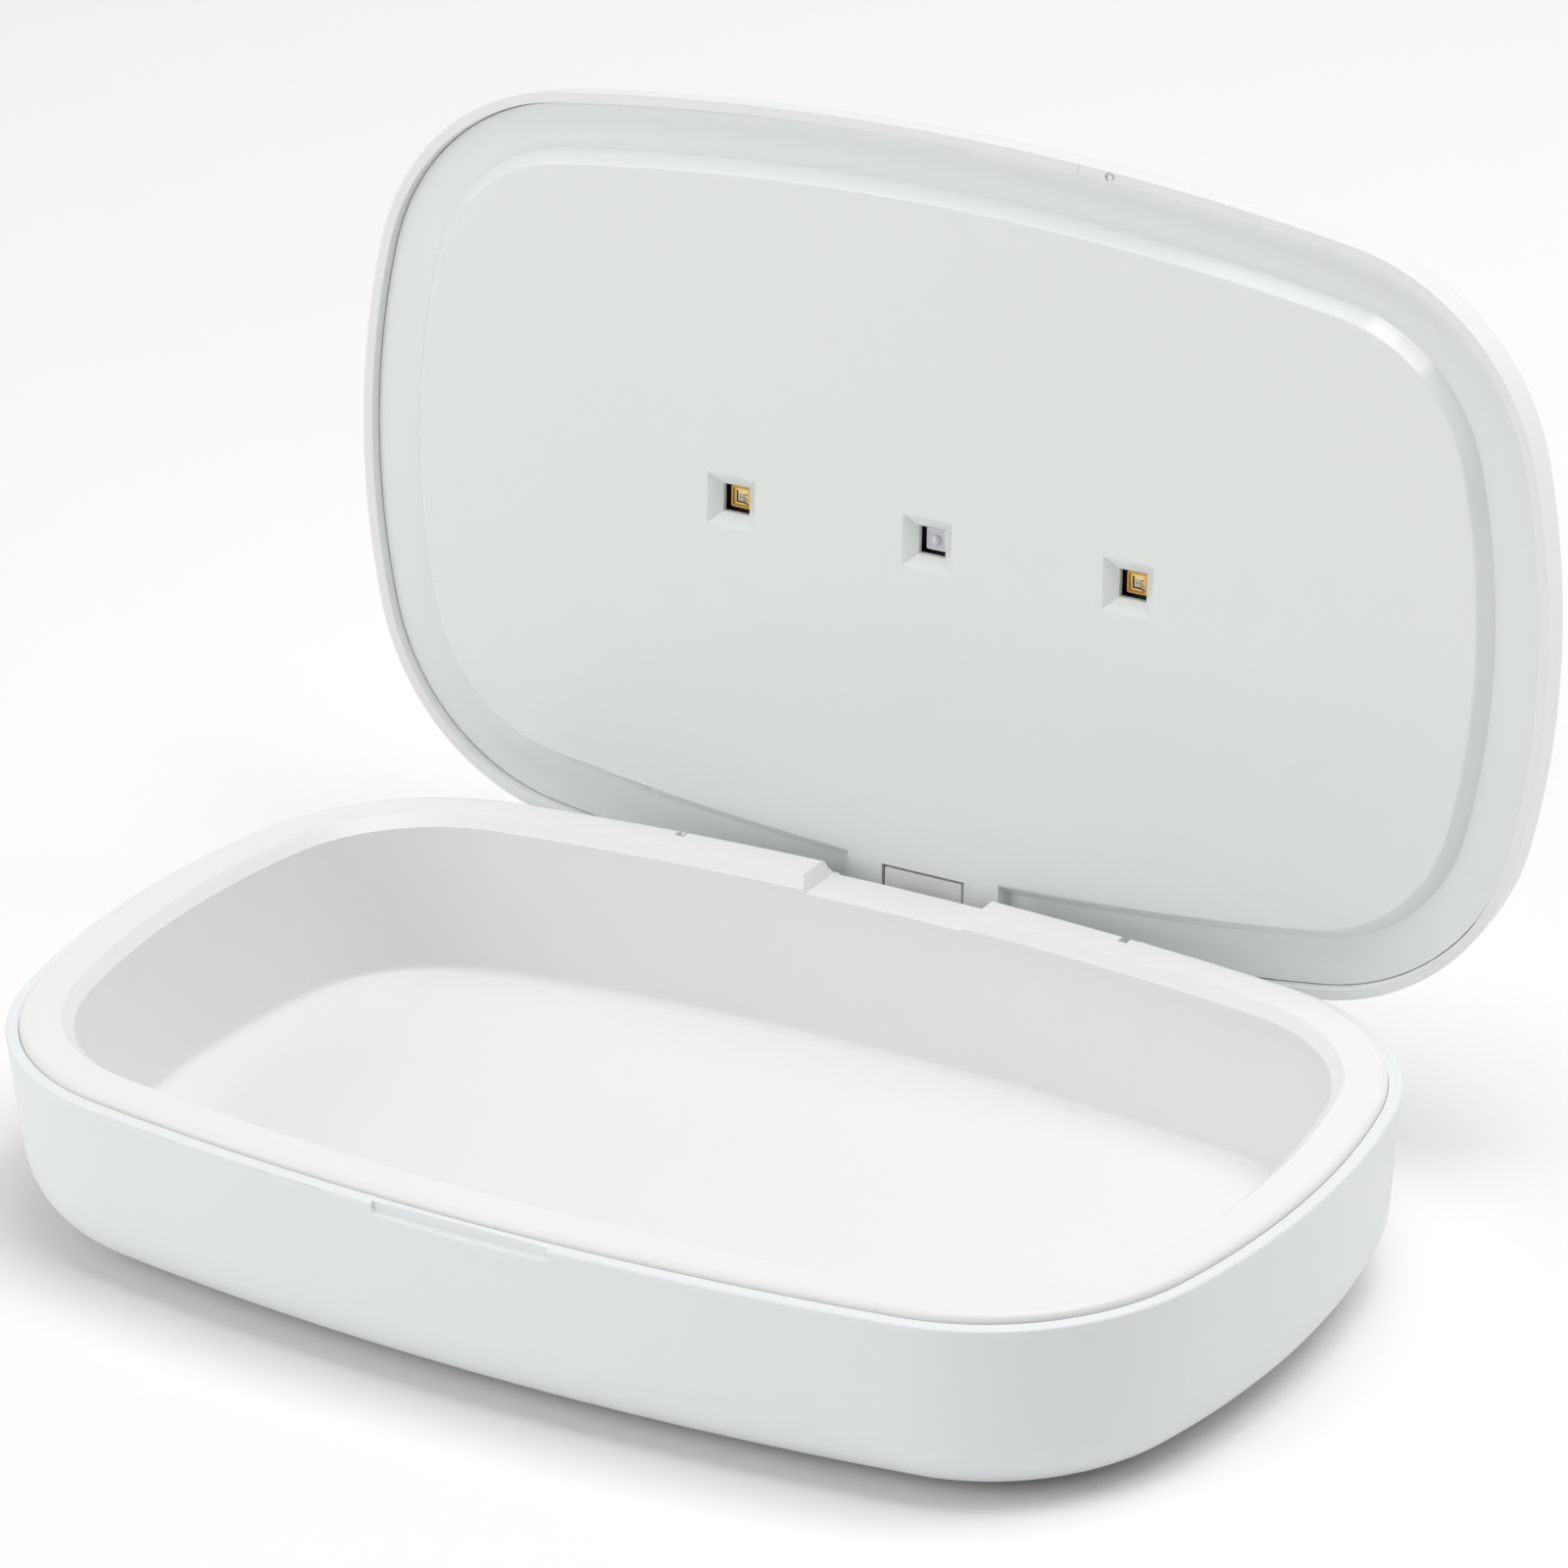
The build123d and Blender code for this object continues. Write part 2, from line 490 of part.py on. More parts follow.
def on_end(sign):
    return Pos(sign * HALF_LENGTH, 0, 0) * Rot(0, 0, -90 * sign)


HOOKS = [on_side(-56, 1), on_side(56, 1), on_side(-56, -1), on_side(0, -1), on_side(56, -1), on_end(1), on_end(-1)]
for place in HOOKS:
    hook = block(-3.0, 3.0, -3.6, -2.6, pz + PANEL_SHEET - 0.3, LID_Z + 5.4)
    hook += block(-3.0, 3.0, -3.2, -1.95, LID_Z + 4.3, LID_Z + 5.3)
    panel += place * hook
    lid_shell -= place * block(-3.3, 3.3, -3.6, -1.6, LID_Z + 4.1, LID_Z + 5.6)
lid_shell_final = lid_shell

led_board = block(-47.5, 47.5, -9.5, 9.5, board_z, board_z + BOARD_T)
led_board += block(-10.5, 10.5, BUTTON_Y - 8.0, -9.0, board_z, board_z + BOARD_T)
for bx, by in BOARD_SCREWS:
    led_board -= rod(bx, by, board_z - 1, board_z + BOARD_T + 1, 1.0)

lid_nodes = {}


def lid_keep(name, shape):
    lid_nodes[name] = shape


lid_keep("lid_outer_shell", lid_shell_final)
lid_keep("lid_inner_panel", panel)
lid_keep("lamp_board", led_board)


def lamp(lx):
    b = block(lx - LED_SIZE / 2, lx + LED_SIZE / 2, LED_Y0 - LED_SIZE / 2, LED_Y0 + LED_SIZE / 2,
              board_z - LED_HEIGHT, board_z)
    b -= block(lx - 1.1, lx + 1.1, LED_Y0 - 1.1, LED_Y0 + 1.1, board_z - LED_HEIGHT - 1, board_z - LED_HEIGHT + 0.35)
    return b


lid_keep("uvc_lamp_left", lamp(LEDS[0]))
lid_keep("uva_lamp_centre", lamp(LEDS[1]) + (Pos(LEDS[1], LED_Y0, board_z - LED_HEIGHT + 0.36) * Sphere(1.0)
                                             & block(LEDS[1] - 2, LEDS[1] + 2, LED_Y0 - 2, LED_Y0 + 2,
                                                     board_z - 4, board_z - LED_HEIGHT + 0.36)))
lid_keep("uvc_lamp_right", lamp(LEDS[2]))

bs = Part()
for bx, by in BOARD_SCREWS:
    bs += screw_down(bx, by, board_z + BOARD_T + 1.0, 1.6, 1.0, 0.75, 3.4)
lid_keep("lamp_board_screws", bs)

switch_z = board_z + BOARD_T
SWITCH_H = 2.2
lid_keep("tact_switch", block(-3.0, 3.0, BUTTON_Y - 3.0, BUTTON_Y + 3.0, switch_z, switch_z + SWITCH_H))

lamps = Part()
for lx, ly in ((-7.9, 0), (7.9, 0), (0, -7.2), (0, 7.9)):
    lamps += block(lx - 0.8, lx + 0.8, BUTTON_Y + ly - 0.5, BUTTON_Y + ly + 0.5, switch_z, switch_z + 0.7)
lid_keep("ring_lamps", lamps)

ring = rod(0, BUTTON_Y, lid_top - LID_WALL, lid_top, RING_R) + rod(0, BUTTON_Y, lid_top - LID_WALL - 0.8, lid_top - LID_WALL, RING_R + 1.2)
ring -= rod(0, BUTTON_Y, lid_top - 5, lid_top + 1, BUTTON_R + 0.25)
ring -= rod(0, BUTTON_Y, lid_top - 5, lid_top - LID_WALL, BUTTON_R + 1.2)
lid_keep("light_ring", ring)

cap = rod(0, BUTTON_Y, lid_top - LID_WALL - 0.9, lid_top + 0.25, BUTTON_R)
cap = fillet([e for e in cap.edges() if abs(e.bounding_box().min.Z - lid_top - 0.25) < 0.01
              and abs(e.bounding_box().max.Z - lid_top - 0.25) < 0.01], 0.35)
cap += rod(0, BUTTON_Y, lid_top - LID_WALL - 1.1, lid_top - LID_WALL - 0.25, BUTTON_R + 0.9)
plunger_top = switch_z + SWITCH_H + 0.05 + BUTTON_TRAVEL + 0.6
cap += rod(0, BUTTON_Y, plunger_top, lid_top - LID_WALL - 0.5, 2.2)
lid_keep("start_button", cap)
lid_keep("switch_plunger", rod(0, BUTTON_Y, plunger_top - 0.6, plunger_top, 1.7))

magnet_z = pz + PANEL_SHEET
lid_keep("lid_magnet", rod(61.5, 54.9, magnet_z, magnet_z + 2.0, 2.5))

# ---------------------------------------------------------------------------
# hinge, lid side (closed place)
# ---------------------------------------------------------------------------
P = lambda y, z: (PIVOT_Y + y, PIVOT_Z + z)
ring_rel = LID_Z - PIVOT_Z
neck = [P(0, -BARREL_R), P(1.9, -BARREL_R), P(3.0, -2.0), P(3.7, -0.9), P(3.7, ring_rel + 2.6), P(-5.2, ring_rel + 2.6),
        P(-5.2, ring_rel + 1.0), P(2.1, ring_rel + 1.0), P(2.1, 1.85), P(0, BARREL_R)]
arm = section_x(neck, -ARM_HALF, ARM_HALF) + rod_x(-ARM_HALF, ARM_HALF, PIVOT_Y, PIVOT_Z, BARREL_R)
arm -= rod_x(-ARM_HALF - 1, ARM_HALF + 1, PIVOT_Y, PIVOT_Z, BUSH_R)
# room for the spring between the knuckles
arm -= rod_x(-4.4, 4.4, PIVOT_Y, PIVOT_Z, BARREL_R + 0.1)
arm -= block(-4.4, 4.4, PIVOT_Y - 4, PIVOT_Y + 2.4, PIVOT_Z - 4, PIVOT_Z + 2.6)
arm -= rod(0, 59.4, arm_top - 5, arm_top + 1, 1.0)
for ax, ay in ARM_SCREWS:
    arm -= rod(ax, ay, arm_top - 5, arm_top + 1, 1.15)
lid_keep("hinge_arm", arm)

bush = (rod_x(4.4, ARM_HALF, PIVOT_Y, PIVOT_Z, BUSH_R) + rod_x(-ARM_HALF, -4.4, PIVOT_Y, PIVOT_Z, BUSH_R))
bush -= rod_x(-ARM_HALF - 1, ARM_HALF + 1, PIVOT_Y, PIVOT_Z, BUSH_BORE)
lid_keep("hinge_bushes", bush)

hs2 = Part()
for ax, ay in ARM_SCREWS:
    hs2 += screw_up(ax, ay, arm_top - 1.6 - 0.9, 1.9, 0.9, 0.9, 5.6)
lid_keep("arm_screws", hs2)

cover = block(-COVER_HALF + 0.45, COVER_HALF - 0.45, COVER_Y0 + 0.45, COVER_Y1 - 0.1, plat_z + 0.15, plat_z + 0.95)
cover = fillet([e for e in cover.edges() if e.bounding_box().max.Z < plat_z + 0.2], 0.2)
for cx_ in (-1.0, 1.0):
    cover += block(cx_ - 0.5, cx_ + 0.5, 55.8, 58.0, plat_z + 0.9, arm_top - 1.6)
lid_keep("hinge_cover", cover)

# ---------------------------------------------------------------------------
# wires: from the main board to the hollow pin, and from the arm to the lamps
# ---------------------------------------------------------------------------
WIRE_R = 0.55


def wire(points, radii, r=WIRE_R):
    path = FilletPolyline(*points, radius=radii)
    t = path % 0
    body = sweep(Plane(origin=path @ 0, z_dir=t) * Circle(r), path=path)
    print("wire volume", round(body.volume, 2), "of", round(math.pi * r * r * path.length, 2), "radii", radii)
    return body


header_at = (port_at * Location((-16.0, face_y + 1.7, 22.2))).position
keep("base_wires", wire([(header_at.X - 0.06, header_at.Y, header_at.Z), (30.0, 58.6, 22.8), (25.2, 59.8, PIVOT_Z - 0.9),
                         (20.6, PIVOT_Y, PIVOT_Z), (1.5, PIVOT_Y, PIVOT_Z)], [3.0, 5.0, 5.0]))
lid_keep("lid_wires", wire([(0.0, 59.4, LID_Z + 1.1), (0.0, 59.4, LID_Z + 5.0), (0.0, 48.0, LID_Z + 5.2),
                            (0.6, 30.0, LID_Z + 5.6), (1.8, 14.0, LID_Z + 5.4), (2.0, 8.02, LID_Z + 5.3)],
                           [1.7, 12.0, 20.0, 8.0]))
lid_keep("lamp_board_header", block(-0.6, 4.6, 4.6, 8.0, switch_z, switch_z + 1.9))

# ---------------------------------------------------------------------------
# the box stands open: everything on the lid turns about the hinge pin
# ---------------------------------------------------------------------------
hinge_axis = Axis((0, PIVOT_Y, PIVOT_Z), (1, 0, 0))
for name, shape in lid_nodes.items():
    s = [x.rotate(hinge_axis, -OPEN_ANGLE) for x in solids_of(shape)]
    nodes[name] = s[0] if len(s) == 1 else Compound(children=s)

everything = Compound(children=[s for shape in nodes.values() for s in solids_of(shape)])
size = everything.bounding_box()
print("open box", size.min, size.max)

for name, shape in nodes.items():
    moved = [Pos(0, -STAND_Y, 0) * s for s in solids_of(shape)]
    export_step(moved[0] if len(moved) == 1 else Compound(children=moved), f"parts/{name}.step")
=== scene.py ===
import json
import math

import bmesh
import bpy
from mathutils import Matrix, Vector

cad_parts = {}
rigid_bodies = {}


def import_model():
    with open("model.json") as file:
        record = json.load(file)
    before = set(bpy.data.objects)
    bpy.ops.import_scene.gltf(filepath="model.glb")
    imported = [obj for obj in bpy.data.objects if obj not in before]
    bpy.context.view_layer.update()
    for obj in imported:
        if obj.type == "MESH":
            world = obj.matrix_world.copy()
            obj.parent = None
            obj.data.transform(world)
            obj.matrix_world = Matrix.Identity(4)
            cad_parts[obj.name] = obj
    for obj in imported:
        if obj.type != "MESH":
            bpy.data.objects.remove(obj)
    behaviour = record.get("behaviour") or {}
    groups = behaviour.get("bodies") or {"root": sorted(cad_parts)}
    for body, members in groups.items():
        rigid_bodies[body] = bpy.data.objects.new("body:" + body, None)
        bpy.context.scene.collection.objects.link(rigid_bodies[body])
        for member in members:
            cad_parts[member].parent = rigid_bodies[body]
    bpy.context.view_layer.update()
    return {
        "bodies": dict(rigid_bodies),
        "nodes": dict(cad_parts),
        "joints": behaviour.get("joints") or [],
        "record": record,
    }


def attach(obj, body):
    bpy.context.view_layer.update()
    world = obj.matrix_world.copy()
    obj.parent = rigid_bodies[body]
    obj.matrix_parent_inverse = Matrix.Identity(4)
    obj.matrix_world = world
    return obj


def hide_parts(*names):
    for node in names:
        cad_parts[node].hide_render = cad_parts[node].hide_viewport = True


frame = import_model()
nodes = frame["nodes"]
MM = 0.001
RIM_Z = 31.2


# ---------------------------------------------------------------------------
# camera: the photograph's viewing angle
# ---------------------------------------------------------------------------
def make_camera():
    az, el, roll = math.radians(32.085), math.radians(25.018), math.radians(-1.624)
    back = Vector((math.sin(az) * math.cos(el), -math.cos(az) * math.cos(el), math.sin(el)))
    right = (-back).cross(Vector((0, 0, 1))).normalized()
    up = right.cross(-back).normalized()
    r2 = math.cos(roll) * right + math.sin(roll) * up
    u2 = -math.sin(roll) * right + math.cos(roll) * up
    cam = bpy.data.cameras.new("camera")
    cam.lens = 36.0 * 8852.0 / 1600.0
    cam.sensor_width = 36.0
    cam.clip_start = 0.05
    cam.clip_end = 60.0
    ob = bpy.data.objects.new("camera", cam)
    ob.matrix_world = Matrix((
        (r2.x, u2.x, back.x, 0.6209),
        (r2.y, u2.y, back.y, -0.97472),
        (r2.z, u2.z, back.z, 0.6088),
        (0, 0, 0, 1)))
    bpy.context.scene.collection.objects.link(ob)
    bpy.context.scene.camera = ob
    return ob


camera = make_camera()
bpy.context.scene.view_settings.view_transform = "Standard"


# ---------------------------------------------------------------------------
# materials
# ---------------------------------------------------------------------------
def new_material(name):
    m = bpy.data.materials.new(name)
    m.use_nodes = True
    nt = m.node_tree
    nt.nodes.clear()
    out = nt.nodes.new("ShaderNodeOutputMaterial")
    bsdf = nt.nodes.new("ShaderNodeBsdfPrincipled")
    nt.links.new(bsdf.outputs[0], out.inputs[0])
    return m, nt, bsdf


def noise(nt, scale, detail=3.0, rough=0.5, coord="Object", stretch=None):
    tc = nt.nodes.new("ShaderNodeTexCoord")
    src = tc.outputs[coord]
    if stretch:
        mp = nt.nodes.new("ShaderNodeMapping")
        mp.inputs["Scale"].default_value = stretch
        nt.links.new(src, mp.inputs["Vector"])
        src = mp.outputs[0]
    n = nt.nodes.new("ShaderNodeTexNoise")
    n.inputs["Scale"].default_value = scale
    n.inputs["Detail"].default_value = detail
    n.inputs["Roughness"].default_value = rough
    nt.links.new(src, n.inputs["Vector"])
    return n.outputs["Fac"]


def ramp(nt, fac, a, b, lo=0.3, hi=0.7):
    r = nt.nodes.new("ShaderNodeValToRGB")
    r.color_ramp.elements[0].position = lo
    r.color_ramp.elements[1].position = hi
    r.color_ramp.elements[0].color = (*a, 1)
    r.color_ramp.elements[1].color = (*b, 1)
    nt.links.new(fac, r.inputs[0])
    return r.outputs[0]


def scalar(nt, fac, lo, hi):
    m = nt.nodes.new("ShaderNodeMapRange")
    m.inputs["To Min"].default_value = lo
    m.inputs["To Max"].default_value = hi
    nt.links.new(fac, m.inputs["Value"])
    return m.outputs[0]


def bump(nt, bsdf, fac, strength, distance):
    b = nt.nodes.new("ShaderNodeBump")
    b.inputs["Strength"].default_value = strength
    b.inputs["Distance"].default_value = distance
    nt.links.new(fac, b.inputs["Height"])
    nt.links.new(b.outputs[0], bsdf.inputs["Normal"])


def plastic(name, colour, rough=0.38, vary=0.012, grain=2600.0, depth=0.12, coat=0.0, sss=0.0, spec=0.5):
    """Moulded plastic: a faint drift of tone, fine moulded grain and uneven gloss."""
    m, nt, bsdf = new_material(name)
    tone = noise(nt, 9.0, 2.0)
    a = tuple(max(0.0, c - vary) for c in colour)
    b = tuple(min(1.0, c + vary) for c in colour)
    nt.links.new(ramp(nt, tone, a, b), bsdf.inputs["Base Color"])
    nt.links.new(scalar(nt, noise(nt, 60.0, 4.0), rough - 0.03, rough + 0.04), bsdf.inputs["Roughness"])
    bump(nt, bsdf, noise(nt, grain, 2.0, 0.6), depth, 0.00002)
    bsdf.inputs["Specular IOR Level"].default_value = spec
    if coat:
        bsdf.inputs["Coat Weight"].default_value = coat
        bsdf.inputs["Coat Roughness"].default_value = 0.06
    if sss:
        bsdf.inputs["Subsurface Weight"].default_value = sss
        bsdf.inputs["Subsurface Radius"].default_value = (0.003, 0.0028, 0.0026)
        bsdf.inputs["Subsurface Scale"].default_value = 0.6
    return m


def metal(name, colour, rough=0.3, scratch=(40.0, 900.0, 900.0)):
    m, nt, bsdf = new_material(name)
    n = noise(nt, 30.0, 4.0, 0.6, stretch=scratch)
    nt.links.new(ramp(nt, n, tuple(c * 0.88 for c in colour), colour), bsdf.inputs["Base Color"])
    nt.links.new(scalar(nt, n, rough - 0.06, rough + 0.1), bsdf.inputs["Roughness"])
    bsdf.inputs["Metallic"].default_value = 1.0
    bump(nt, bsdf, n, 0.15, 0.00002)
    return m


M = {}
M["shell"] = plastic("white_shell", (0.815, 0.842, 0.844), rough=0.42, vary=0.006)
M["tub"] = plastic("white_tub", (0.835, 0.849, 0.838), rough=0.40, vary=0.006)
M["panel"] = plastic("glossy_panel", (0.828, 0.860, 0.840), rough=0.13, vary=0.006, grain=400.0, depth=0.02)
M["lid"] = plastic("lid_shell", (0.845, 0.864, 0.857), rough=0.45, vary=0.006)
M["cover"] = plastic("cover_white", (0.825, 0.846, 0.84), rough=0.45, vary=0.006)
M["button"] = plastic("button_white", (0.84, 0.85, 0.86), rough=0.22, vary=0.004, coat=0.3)
M["ring"] = plastic("milky_ring", (0.72, 0.80, 0.88), rough=0.3, sss=0.3)
M["rubber"] = plastic("grey_rubber", (0.42, 0.43, 0.44), rough=0.75, vary=0.03, grain=900.0, depth=0.4)
M["silicone"] = plastic("silicone", (0.25, 0.25, 0.26), rough=0.6, vary=0.02)
M["board_green"] = plastic("board_green", (0.03, 0.16, 0.07), rough=0.35, vary=0.012)
M["board_dark"] = plastic("board_dark", (0.035, 0.038, 0.05), rough=0.4, vary=0.004)
M["black"] = plastic("black_epoxy", (0.02, 0.02, 0.022), rough=0.5, vary=0.006)
M["nylon"] = plastic("nylon", (0.8, 0.78, 0.70), rough=0.5)
M["acetal"] = plastic("acetal", (0.84, 0.84, 0.82), rough=0.4)
M["sleeve"] = plastic("wire_sleeve", (0.8, 0.8, 0.8), rough=0.5)
M["steel"] = metal("plated_steel", (0.62, 0.62, 0.64), 0.32)
M["nickel"] = metal("nickel", (0.7, 0.69, 0.67), 0.22)
M["gold"] = metal("gold_ceramic", (0.74, 0.41, 0.10), 0.35)
M["lamp_white"] = plastic("lamp_white", (0.80, 0.81, 0.85), rough=0.3)
M["lamp_led"] = plastic("small_lamp", (0.85, 0.83, 0.6), rough=0.3)

USE = {
    "base_outer_shell": "shell", "base_inner_tub": "tub", "rubber_feet": "rubber", "base_screws": "steel",
    "main_board": "board_green", "usb_socket": "nickel", "control_chips": "black", "wire_header": "nylon",
    "lid_sensor": "black", "hinge_bracket": "steel", "bracket_screws": "steel", "hinge_pin": "nickel",
    "hinge_spring": "steel", "base_wires": "sleeve", "lid_outer_shell": "lid", "lid_inner_panel": "panel",
    "lamp_board": "board_dark", "uvc_lamp_left": "gold", "uvc_lamp_right": "gold", "uva_lamp_centre": "lamp_white",
    "lamp_board_screws": "steel", "tact_switch": "black", "ring_lamps": "lamp_led", "light_ring": "ring",
    "lid_magnet": "nickel", "hinge_arm": "cover", "hinge_bushes": "acetal", "arm_screws": "steel",
    "hinge_cover": "cover", "lid_wires": "sleeve", "lamp_board_header": "nylon", "start_button": "button",
    "switch_plunger": "silicone",
}
for name, ob in nodes.items():
    mat = M[USE[name]]
    if not ob.material_slots:
        ob.data.materials.append(mat)
    for s in ob.material_slots:
        s.material = mat


# ---------------------------------------------------------------------------
# lamps: packages drawn in the closed lid's layout in millimetres, x along the
# length, y to the hinge side, d the depth behind the package's face, and then
# turned up with the open lid
# ---------------------------------------------------------------------------
PIVOT = Vector((0.0, 60.36, 25.76))
TO_REST = (Matrix.Scale(MM, 4) @ Matrix.Translation(PIVOT - Vector((0, 10.92, 0)))
           @ Matrix.Rotation(math.radians(-94.55), 4, "X") @ Matrix.Translation(-PIVOT))
FACE_Z = 33.7


def rounded_square(half, r, d, cx=0.0, cy=0.0, n=6):
    pts = []
    for k, (sx, sy) in enumerate(((1, 1), (-1, 1), (-1, -1), (1, -1))):
        for i in range(n + 1):
            a = math.radians(90 * k + 90 * i / n)
            pts.append((cx + sx * (half - r) + r * math.cos(a), cy + sy * (half - r) + r * math.sin(a), d))
    return pts


def circle(r, d, cx=0.0, cy=0.0, n=28):
    return [(cx + r * math.cos(2 * math.pi * i / n), cy + r * math.sin(2 * math.pi * i / n), d) for i in range(n)]


def strip(points, width, d):
    """Closed outline of a bent strip of one width along the points."""
    left, right = [], []
    for i, p in enumerate(points):
        a = Vector(points[max(i - 1, 0)])
        b = Vector(points[min(i + 1, len(points) - 1)])
        m = Vector(p)
        u = (m - a).normalized() if i else (b - m).normalized()
        v = (b - m).normalized() if i < len(points) - 1 else u
        t = (u + v).normalized()
        w = width / 2 / max(0.5, abs(t.dot(u)))
        side = Vector((-t.y, t.x)) * w
        left.append((m.x + side.x, m.y + side.y, d))
        right.append((m.x - side.x, m.y - side.y, d))
    return left + right[::-1]


def solid(bm, loops, mats):
    """Closed skin through loops of one length; mats has one entry per band, then one for the last cap."""
    rings = [[bm.verts.new(p) for p in loop] for loop in loops]
    count = len(rings[0])
    for j in range(len(rings) - 1):
        for i in range(count):
            f = bm.faces.new((rings[j][i], rings[j][(i + 1) % count], rings[j + 1][(i + 1) % count], rings[j + 1][i]))
            f.material_index = mats[j]
    bm.faces.new(rings[0][::-1]).material_index = mats[0]
    bm.faces.new(rings[-1]).material_index = mats[-1]


def lamp_piece(name, cx, build, mats, node, smooth=40.0):
    bm = bmesh.new()
    build(bm)
    bmesh.ops.recalc_face_normals(bm, faces=bm.faces[:])
    for v in bm.verts:
        v.co = TO_REST @ Vector((v.co.x + cx, v.co.y + 0.35, FACE_Z + v.co.z))
    me = bpy.data.meshes.new(name)
    bm.to_mesh(me)
    bm.free()
    for m in mats:
        me.materials.append(M[m])
    me.shade_smooth()
    me.set_sharp_from_angle(angle=math.radians(smooth))
    ob = bpy.data.objects.new(name, me)
    bpy.context.scene.collection.objects.link(ob)
    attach(ob, "lid")
    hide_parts(node)
    return ob


def uvc_package(bm):
    """Gold-plated frame round a stepped well with its pads, the gap between them, and the die."""
    # the step walls of the well take a darker copy of the gold: painted shade along the step
    frame, step, pad, gap, die = 0, 1, 2, 3, 4
    solid(bm, [rounded_square(1.75, 0.34, 1.2), rounded_square(1.75, 0.34, 0.06), rounded_square(1.69, 0.30, 0.0),
               rounded_square(1.45, 0.30, 0.0), rounded_square(1.41, 0.27, 0.04), rounded_square(1.38, 0.25, 0.16),
               rounded_square(1.27, 0.22, 0.17), rounded_square(1.24, 0.20, 0.34)],
          [frame, frame, frame, step, step, step, step, pad])
    # the gap between the pads runs down the left, along the bottom and out to the corner
    for route in ([(-0.80, -0.92), (-0.80, 0.86), (0.66, 0.86)], [(0.66, 0.86), (1.12, 1.16)]):
        solid(bm, [strip(route, 0.31, 0.345), strip(route, 0.31, 0.32)], [gap, gap])
    solid(bm, [rounded_square(0.56, 0.04, 0.345, 0.02, 0.14), rounded_square(0.56, 0.04, 0.21, 0.02, 0.14),
               rounded_square(0.53, 0.03, 0.18, 0.02, 0.14)], [die, die, die])
    for x, y in ((-0.22, 0.05), (0.02, 0.10), (0.24, 0.0)):
        solid(bm, [circle(0.085, 0.19, x, y, 12), circle(0.085, 0.165, x, y, 12)], [gap, gap])
    for x, y, r in ((0.86, -0.46, 0.13), (0.80, 0.10, 0.10), (0.90, 0.46, 0.14)):
        solid(bm, [circle(r, 0.345, x, y, 14), circle(r, 0.30, x, y, 14)], [gap, gap])


def uva_package(bm):
    """White package with a raised edge, a seat ring and a domed lens."""
    # the raised edge and the seat ring take a lighter copy of the package white: painted highlight along the edges
    body, edge, lens = 0, 1, 2
    solid(bm, [rounded_square(1.75, 0.22, 1.2), rounded_square(1.75, 0.22, 0.10), rounded_square(1.66, 0.18, 0.0),
               rounded_square(1.48, 0.16, 0.0), rounded_square(1.42, 0.14, 0.07)], [body, edge, edge, edge, body])
    solid(bm, [circle(1.06, 0.08), circle(1.06, 0.0), circle(1.02, -0.03), circle(0.93, -0.03), circle(0.91, 0.03)],
          [edge, edge, edge, edge, body])
    rings = [circle(0.90, 0.04)]
    for k in range(1, 8):
        a = math.radians(90 * k / 8.0)
        rings.append(circle(0.90 * math.cos(a), 0.02 - 0.60 * math.sin(a)))
    solid(bm, rings, [lens] * len(rings))


# a darker copy of the gold for the step walls of the well: painted shade
M["gold_step_painted_shade"] = metal("gold_step_painted_shade", (0.62, 0.33, 0.06), 0.4)
M["gold_pad"] = metal("gold_pad", (0.88, 0.70, 0.34), 0.42)
M["gap"] = plastic("pad_gap", (0.045, 0.018, 0.008), rough=0.5, vary=0.01)
M["die"] = plastic("lamp_die", (0.62, 0.56, 0.44), rough=0.22, vary=0.04, grain=5200.0)
M["package"] = plastic("lamp_package", (0.66, 0.67, 0.70), rough=0.34)
# a lighter copy of the package white for its raised edge and seat ring: painted highlight
M["package_edge_painted_highlight"] = plastic("lamp_package_edge", (0.84, 0.85, 0.88), rough=0.22)
M["lens"] = plastic("lamp_lens", (0.72, 0.73, 0.77), rough=0.08, vary=0.004, depth=0.0, coat=0.6)

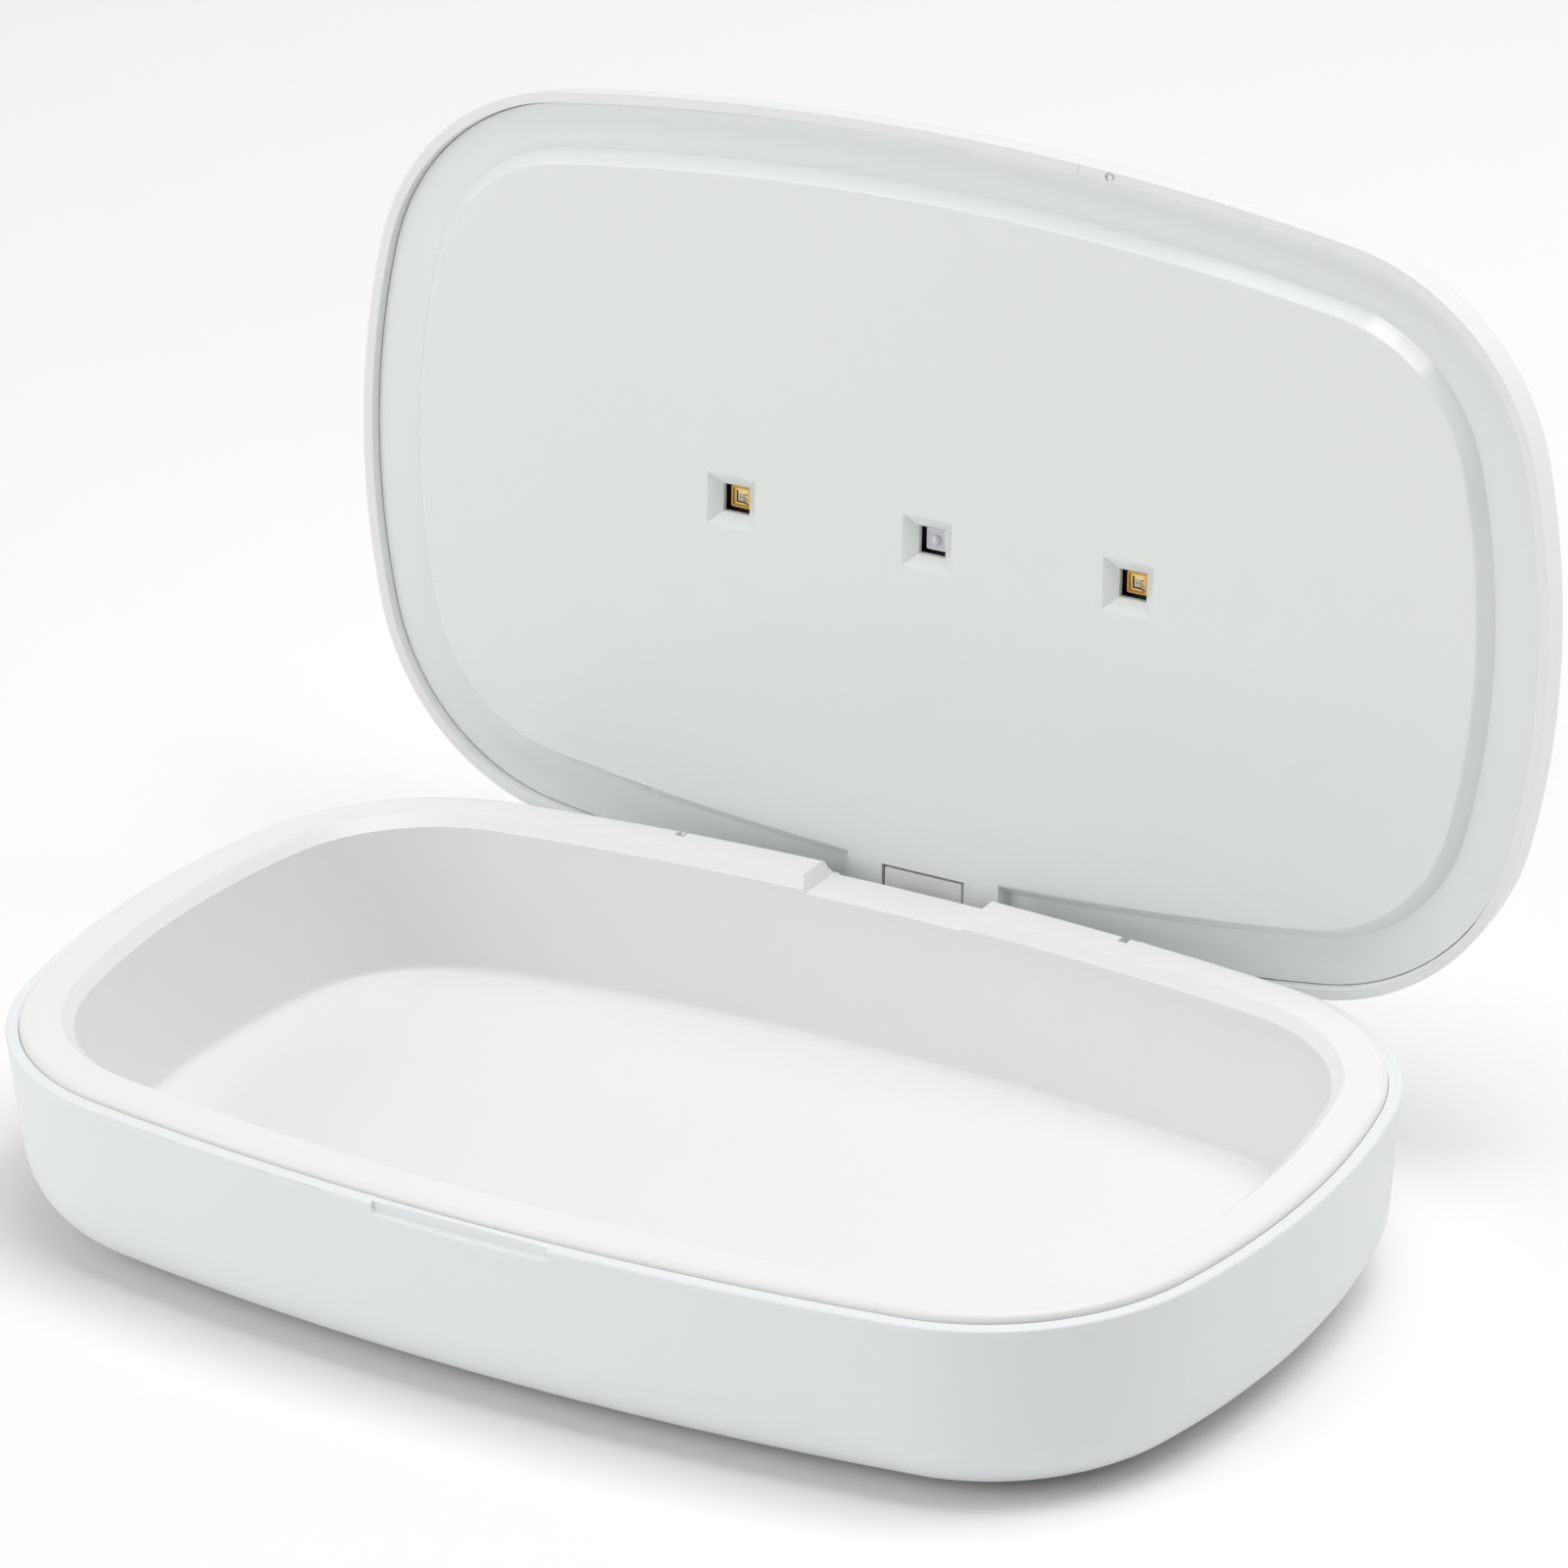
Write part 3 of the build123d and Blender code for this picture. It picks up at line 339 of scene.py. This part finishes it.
lamp_piece("uvc_package_left", -35.5, uvc_package, ("gold", "gold_step_painted_shade", "gold_pad", "gap", "die"), "uvc_lamp_left")
lamp_piece("uvc_package_right", 34.3, uvc_package, ("gold", "gold_step_painted_shade", "gold_pad", "gap", "die"), "uvc_lamp_right")
lamp_piece("uva_package_centre", -0.6, uva_package, ("package", "package_edge_painted_highlight", "lens"), "uva_lamp_centre")

# ---------------------------------------------------------------------------
# floor, light
# ---------------------------------------------------------------------------
fm = bpy.data.meshes.new("floor")
fm.from_pydata([(-6, -6, 0), (6, -6, 0), (6, 6, 0), (-6, 6, 0)], [], [(0, 1, 2, 3)])
floor = bpy.data.objects.new("floor", fm)
bpy.context.scene.collection.objects.link(floor)
floor.data.materials.append(plastic("floor_paper", (0.93, 0.93, 0.93), rough=0.9, vary=0.004, spec=0.1))

world = bpy.data.worlds.new("world")
bpy.context.scene.world = world
world.use_nodes = True
bg = world.node_tree.nodes["Background"]
bg.inputs[0].default_value = (1, 1, 1, 1)
bg.inputs[1].default_value = 0.14


def area(name, azimuth, elevation, power, size=0.9, distance=1.5):
    """Square soft light on a sphere round the object; azimuth 0 is the front, positive to the right."""
    l = bpy.data.lights.new(name, "AREA")
    l.shape = "SQUARE"
    l.size = size
    l.energy = power
    o = bpy.data.objects.new(name, l)
    a, e = math.radians(azimuth), math.radians(elevation)
    o.location = (distance * math.sin(a) * math.cos(e), -distance * math.cos(a) * math.cos(e),
                  distance * math.sin(e) + 0.05)
    o.rotation_euler = (Vector((0, 0.02, 0.06)) - o.location).to_track_quat("-Z", "Y").to_euler()
    bpy.context.scene.collection.objects.link(o)
    return o


area("front_left", -30, 20, 6.7)
area("left_low", -60, 20, 1.8)
area("left_high", -45, 45, 1.0)
area("front_middle", 0, 45, 0.7)
area("right_top", 90, 70, 10.7)
area("overhead", 0, 89, 5.2)
area("right_rear_high", 135, 45, 2.2)
area("right_rear", 120, 20, 2.2)
area("rear", 180, 20, 1.8)
area("rear_high", 180, 45, 0.7)
area("rear_left", -150, 20, 1.4)
area("rear_right", 150, 20, 1.1)
area("left_rear", -120, 20, 1.5)
